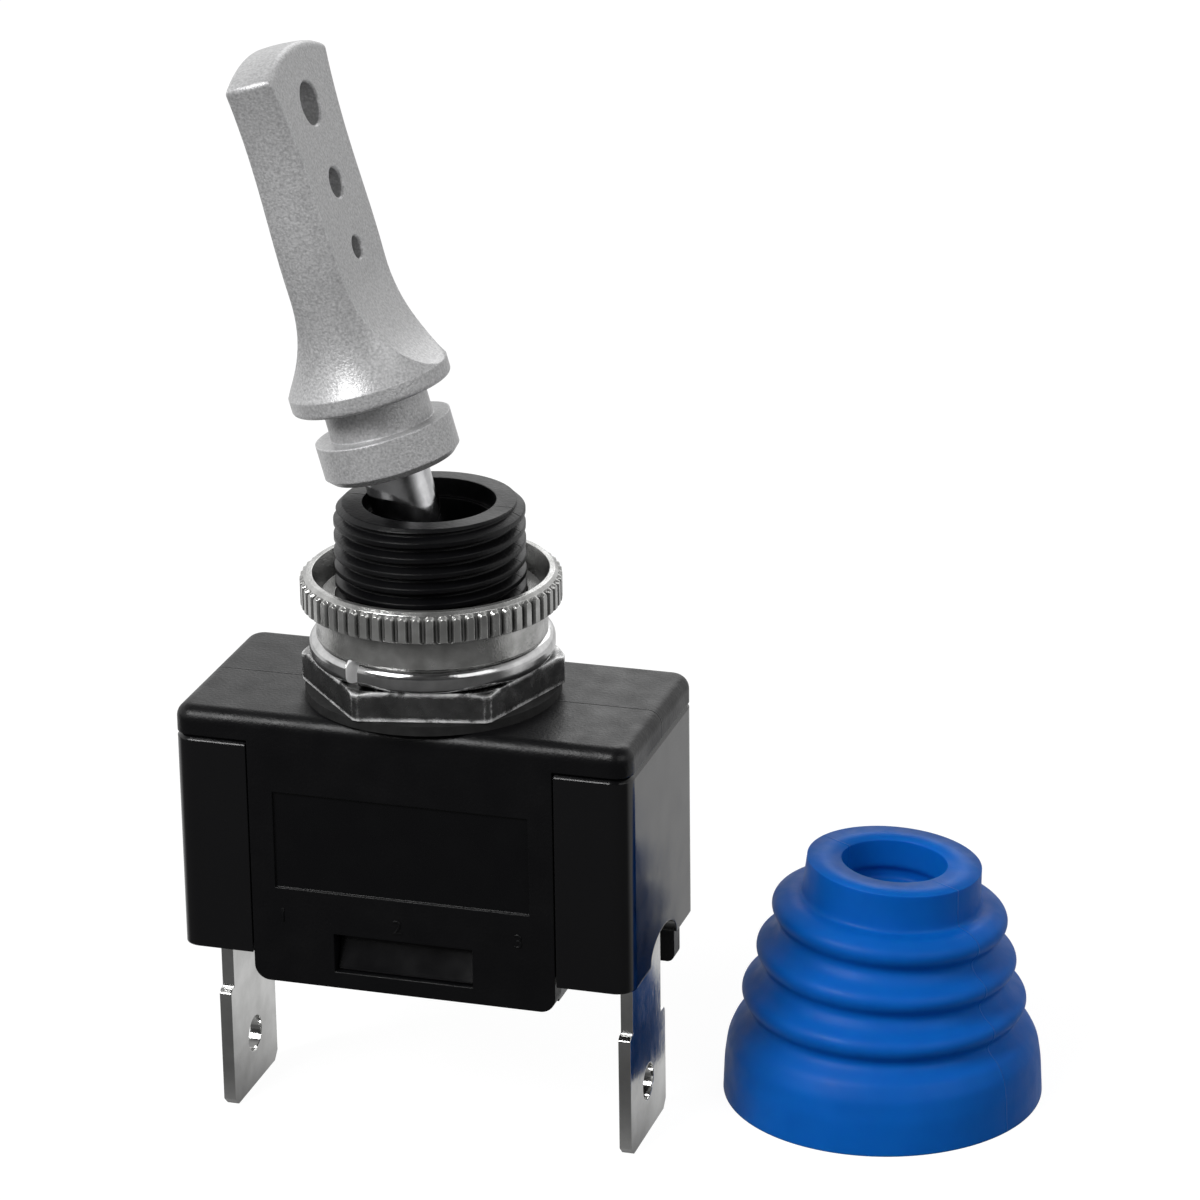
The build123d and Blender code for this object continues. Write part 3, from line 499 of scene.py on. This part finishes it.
# %% Section of the boot
boot_height, skirt_radius, ring_radius, hole_radius, lip_radius = 16.0, 10.42, 5.6, 3.45, 2.85
ring_top, ring_foot, shoulder = boot_height - 0.02, 13.45, [(9.65, 4.6), (9.0, 5.1)]
bead_radii, bead_heights = (9.2, 8.4, 7.6), (6.8, 9.65, 12.5)
bead_outside = [(-0.55, -1.35), (-0.50, -1.00), (-0.08, -0.55), (0.12, -0.05), (-0.08, 0.45), (-0.9, 0.90)]
bead_inside = [(-0.9, 0.0), (-1.75, -1.2)]


def rounded(corners, spacing, softness):
    """Points every spacing along the runs between the corners, each replaced by the mean of its neighbours
    weighted by a bell curve of width softness; the two ends keep their place."""
    corners = np.asarray(corners, float)
    step = np.linalg.norm(np.diff(corners, axis=0), axis=1)
    length = np.concatenate([[0.0], np.cumsum(step)])
    at = np.linspace(0.0, length[-1], int(length[-1] / spacing) + 1)
    line = np.stack([np.interp(at, length, corners[:, k]) for k in (0, 1)], axis=1)
    reach = int(3 * softness / spacing)
    bell = np.exp(-0.5 * (np.arange(-reach, reach + 1) * spacing / softness) ** 2)
    before = 2 * line[0] - line[reach:0:-1]
    after = 2 * line[-1] - line[-2:-reach - 2:-1]
    padded = np.concatenate([before, line, after])
    return np.stack([np.convolve(padded[:, k], bell / bell.sum(), "valid") for k in (0, 1)], axis=1)


def beads(radii, heights, steps):
    """The corners of each bead in turn: its tip plus each step out and up."""
    return [(tip + out, height + up) for tip, height in zip(radii, heights) for out, up in steps]


outer = [(skirt_radius, 0.0), (skirt_radius - 0.10, 2.2), (skirt_radius - 0.30, 3.6), *shoulder]
outer += beads(bead_radii, bead_heights, bead_outside)
outer += [(ring_radius + 0.20, ring_foot), (ring_radius + 0.05, ring_top)]
inner = [(hole_radius, ring_top), (hole_radius, boot_height - 1.9), (hole_radius + 0.35, boot_height - 2.3),
         (hole_radius + 0.3, boot_height - 2.9), (lip_radius, boot_height - 3.15),
         (lip_radius, boot_height - 3.8), (4.05, boot_height - 4.2)]
inner += beads(bead_radii[::-1], bead_heights[::-1], bead_inside)
inner += [(9.3, 3.4), (skirt_radius - 0.9, 0.0)]
section = np.concatenate([rounded(outer, 0.06, 0.24), rounded(inner, 0.12, 0.16)])
print("boot section:", len(section), "points, widest", round(float(section[:, 0].max()), 2), "mm")

# %% [markdown]
# ## The section becomes a skin
# The softened section is carried once round the axis, and its last point joins its first, so the skin closes.
# A boot that was pulled off stands a little crooked: this one's skirt is upright and its top leans 4.6 degrees
# to the camera's right. The skin takes the place of the plain boot among the solids.

# %% Turn the section into a skin
boot_bend, boot_heading = np.radians([4.6, 17.2])
bend_from, bend_to = 3.0, 12.0
boot_columns = 160


def new_mesh(name, points, faces):
    """A mesh from points in metres and faces that list them."""
    mesh = bpy.data.meshes.new(name)
    mesh.from_pydata(points, [], faces)
    mesh.update()
    return mesh


def new_piece(name, mesh, finish):
    """Puts a mesh into the scene as a piece with one finish."""
    piece = bpy.data.objects.new(name, mesh)
    bpy.context.scene.collection.objects.link(piece)
    mesh.materials.clear()
    mesh.materials.append(finish)
    return piece


def turned_skin(name, section, around, centre, foot, bend, heading):
    """Grid over angle and section, closed on itself, so the skin is a ring-shaped solid. The axis is upright up
    to bend_from and then tilts in a straight ratio until bend_to, where the tilt is bend. At height h the tilt
    is t(h), the axis has slid by the integral of t, and the ring of that height leans by t: it moves sideways by
    slide + r cos(a) cos(t) and sinks by r cos(a) sin(t), where a is the angle from the heading."""
    angle = np.linspace(0.0, 2 * np.pi, around, endpoint=False)
    radius, height = section[:, 0][:, None], section[:, 1][:, None]
    share = np.clip((height - bend_from) / (bend_to - bend_from), 0.0, 1.0)
    tilt = bend * share
    slide = bend * (0.5 * share ** 2 * (bend_to - bend_from) + np.maximum(height - bend_to, 0.0))
    ahead = slide + radius * np.cos(angle) * np.cos(tilt)
    aside = radius * np.sin(angle)
    x = centre[0] + ahead * np.cos(heading) - aside * np.sin(heading)
    y = centre[1] + ahead * np.sin(heading) + aside * np.cos(heading)
    z = foot + height - radius * np.cos(angle) * np.sin(tilt)
    points = np.stack([x, y, z], axis=-1).reshape(-1, 3) * MM
    rows, columns = len(section), around
    row, column = np.meshgrid(np.arange(rows), np.arange(columns), indexing="ij")
    below, right = (row + 1) % rows, (column + 1) % columns
    faces = np.stack([row * columns + column, row * columns + right, below * columns + right,
                      below * columns + column], axis=-1).reshape(-1, 4)
    mesh = new_mesh(name, points.tolist(), faces.tolist())
    mesh.polygons.foreach_set("use_smooth", np.ones(len(faces), bool))
    mesh.update()
    return mesh


boot_foot = floor_height / MM
boot_mesh = turned_skin("boot_skin", section, boot_columns, boot_axis, boot_foot, boot_bend, boot_heading)
boot_skin = new_piece("boot_skin", boot_mesh, boot_blue)
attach(boot_skin, "case")
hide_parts("boot")
print("boot skin:", len(boot_mesh.polygons), "faces")

# %% [markdown]
# ## The cut end of the spring washer
# A split washer is sawn through at a slant, so one end shows its bare cut face in the gap. The face has the
# washer's own section, a D with the round side out. It is made as a small wedge that carries the left end on
# until the slant is reached. The gap is at the front left, 246 degrees round from +X. Both ends of the wedge are
# slanted by moving their points along the gap in proportion to how far in they lie, from 0 at the rim to 1 at
# the bore.

# %% Washer end
washer_inner, washer_outer, washer_foot, washer_top, washer_round = 6.07, 7.73, 2.52, 4.03, 0.58
gap_angle = np.radians(246.0)
back_at_rim, back_slant = -0.19, -0.62
face_at_rim, face_slant = -0.15, 0.30
# Painted highlight: the bare steel cut face is given a near-white matte colour with no metal, so it shows bright
# from any side.
cut_face_painted_bright = dull("washer_cut_face_painted_highlight", (0.80, 0.80, 0.80), (0.93, 0.93, 0.93), 0.40, 0.15, 0.004)
quarter = np.linspace(0.0, np.pi / 2, 9)
bow = washer_outer - washer_round + washer_round * np.sin(quarter)
low_bow = washer_foot + washer_round - washer_round * np.cos(quarter)
end_radius = np.concatenate([[washer_inner], bow, bow[::-1], [washer_inner]])
end_height = np.concatenate([[washer_foot], low_bow, washer_foot + washer_top - low_bow[::-1], [washer_top]])
share_in = (washer_outer - end_radius) / (washer_outer - washer_inner)
end_along = np.concatenate([back_at_rim + back_slant * share_in, face_at_rim + face_slant * share_in])
count = len(end_radius)
end_radius, end_height = np.tile(end_radius, 2), np.tile(end_height, 2)
end_points = np.stack([end_radius * np.cos(gap_angle) - end_along * np.sin(gap_angle),
                       end_radius * np.sin(gap_angle) + end_along * np.cos(gap_angle), end_height], axis=1) * MM
walk = np.arange(count)
end_sides = np.stack([walk, (walk + 1) % count, (walk + 1) % count + count, walk + count], axis=1)
end_faces = end_sides.tolist() + [walk[::-1].tolist(), (walk + count).tolist()]
washer_end = new_piece("washer_end", new_mesh("washer_end", end_points.tolist(), end_faces), cut_face_painted_bright)
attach(washer_end, "case")
print("washer end:", len(end_faces), "faces")

# %% [markdown]
# ## Moulded numerals
# Makers mark which terminal is which with small raised numerals on the front tongue. They are cut into the
# mould, so they stand a few hundredths of a millimetre proud in the same black plastic and show only by their
# edges. Each is a text curve that is given a thickness, turned into a mesh, stood up and set on the tongue.

# %% Numerals on the tongue
tongue_face, numeral_height, numeral_size, numeral_rise = -7.25, -13.9, 1.35, 0.05
stand_up = Matrix.Rotation(np.pi / 2, 4, "X")
for numeral, middle in (("1", -7.96), ("2", -0.34), ("3", 7.64)):
    text = bpy.data.curves.new("numeral_text_" + numeral, "FONT")
    text.body = numeral
    text.align_x = "CENTER"
    text.size = numeral_size * MM
    text.extrude = numeral_rise * MM
    holder = bpy.data.objects.new("holder", text)
    mesh = bpy.data.meshes.new_from_object(holder)
    bpy.data.objects.remove(holder)
    mesh.transform(Matrix.Translation(Vector((middle, tongue_face, numeral_height)) * MM) @ stand_up)
    mesh.name = "numeral_" + numeral
    piece = new_piece("numeral_" + numeral, mesh, cover_black)
    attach(piece, "case")
print("numerals: 3, each", numeral_size, "mm high")

# %% [markdown]
# ## The white table
# The switch and its boot stand on one table that the camera sees as white and that keeps a faint shadow. The
# table is bright only to the camera and to mirrors; the light it really gives is a low grey, so the shapes keep
# their shading. A mirror sees it bright behind the object and dark in front of it, and the change lies under the
# switch. The two brightnesses are added up from the kind of ray that asks.

# %% White table
table_reach, table_grey, table_seen, table_mirrored = 3.0, 0.12, 0.95, 0.60
dark_until, bright_from, change_runs = -0.012, 0.014, (0.05, 1.0, 0.0)
floor_white = bpy.data.materials.new("table_white")
floor_white.use_nodes = True
floor_nodes, floor_shader = floor_white.node_tree.nodes, shader_of(floor_white)
floor_shader.inputs["Base Color"].default_value = (table_grey, table_grey, table_grey, 1.0)
floor_shader.inputs["Roughness"].default_value = 0.9
floor_shader.inputs["Specular IOR Level"].default_value = 0.0
floor_glow = floor_nodes.new("ShaderNodeEmission")
floor_glow.inputs["Color"].default_value = (1.0, 1.0, 1.0, 1.0)
floor_ray = floor_nodes.new("ShaderNodeLightPath")
floor_place = floor_nodes.new("ShaderNodeTexCoord")
floor_depth = vector_step(floor_white, "DOT_PRODUCT", floor_place.outputs["Object"], change_runs)
floor_back = spread(floor_white, floor_depth, 0.0, table_mirrored, dark_until, bright_from, "SMOOTHSTEP")
camera_gain = number_step(floor_white, "MULTIPLY", floor_ray.outputs["Is Camera Ray"], table_seen)
mirror_gain = number_step(floor_white, "MULTIPLY", floor_ray.outputs["Is Glossy Ray"], floor_back)
floor_gain = number_step(floor_white, "ADD", camera_gain, mirror_gain)
floor_sum = floor_nodes.new("ShaderNodeAddShader")
wire(floor_white, floor_gain, floor_glow.inputs["Strength"])
wire(floor_white, floor_shader.outputs["BSDF"], floor_sum.inputs[0])
wire(floor_white, floor_glow.outputs["Emission"], floor_sum.inputs[1])
wire(floor_white, floor_sum.outputs["Shader"], floor_nodes["Material Output"].inputs["Surface"])
table_corners = [(side * table_reach, depth * table_reach, floor_height)
                 for side, depth in ((-1, -1), (1, -1), (1, 1), (-1, 1))]
table = new_piece("table", new_mesh("table", table_corners, [(0, 1, 2, 3)]), floor_white)
print("table at", round(floor_height / MM, 2), "mm")

# %% [markdown]
# ## The sky
# The world is white to the camera and gives a plain grey light to everything. Only mirrors see more: for them it
# is bright round the sides and dark towards the camera and overhead. Those dark parts are what draws the streaks
# on polished metal. How far a direction faces the camera is its dot product with the camera's backward axis.

# %% White surroundings
sky_light, sky_front, sky_top = 0.24, 0.05, 0.35
front_starts, front_ends, top_starts, top_ends = 0.1, 0.8, 0.45, 0.80
world = bpy.data.worlds.new("studio")
bpy.context.scene.world = world
world.use_nodes = True
sky = world.node_tree.nodes["Background"]
sky.inputs["Color"].default_value = (1.0, 1.0, 1.0, 1.0)
sky_ray = world.node_tree.nodes.new("ShaderNodeLightPath")
sky_way = world.node_tree.nodes.new("ShaderNodeTexCoord").outputs["Generated"]
sky_split = world.node_tree.nodes.new("ShaderNodeSeparateXYZ")
wire(world, sky_way, sky_split.inputs[0])
facing = vector_step(world, "DOT_PRODUCT", sky_way, axes[2].tolist())
front_share = spread(world, facing, 1.0, sky_front, front_starts, front_ends, "SMOOTHSTEP")
high_share = spread(world, sky_split.outputs["Z"], 1.0, sky_top, top_starts, top_ends, "SMOOTHSTEP")
around_share = number_step(world, "MULTIPLY", front_share, high_share)
seen = number_step(world, "MAXIMUM", sky_ray.outputs["Is Camera Ray"], sky_ray.outputs["Is Transmission Ray"])
mirrored = number_step(world, "MULTIPLY", sky_ray.outputs["Is Glossy Ray"], around_share)
light_off = number_step(world, "MULTIPLY", sky_ray.outputs["Is Glossy Ray"], sky_light)
plain = number_step(world, "SUBTRACT", sky_light, light_off)
bright = number_step(world, "MAXIMUM", seen, mirrored)
wire(world, number_step(world, "MAXIMUM", bright, plain), sky.inputs["Strength"])
print("sky light", sky_light)

# %% [markdown]
# ## Lamps
# One large soft lamp high at the front left gives the forms their light side, a weaker one on the right opens
# the shadows, and a faint one behind draws thin edges on the metal. All are broad, so shadows stay faint.

# %% Lamps
lamp_target = (8.0, 0.0, 0.0)


def soft_lamp(name, place, width, power):
    """A square lamp at place, in millimetres, that looks at the middle of the object."""
    data = bpy.data.lights.new(name, "AREA")
    data.shape = "SQUARE"
    data.size = width * MM
    data.energy = power
    lamp = bpy.data.objects.new(name, data)
    bpy.context.scene.collection.objects.link(lamp)
    lamp.location = Vector(place) * MM
    aim = Vector(lamp_target) * MM - lamp.location
    lamp.rotation_mode = "QUATERNION"
    lamp.rotation_quaternion = aim.to_track_quat("-Z", "Y")


soft_lamp("key_lamp", (-240, -420, 410), 280, 3.6)
soft_lamp("fill_lamp", (460, -260, 300), 380, 0.85)
soft_lamp("back_lamp", (-20, 470, 300), 300, 0.45)
print("lamps: 3")

# %% [markdown]
# ## Sizes
# The box round the solids was measured before anything was added, and it is printed here.

# %% Sizes
bpy.context.view_layer.update()
print("CAD box mm", [[round(v / MM, 2) for v in corner] for corner in solid_box])
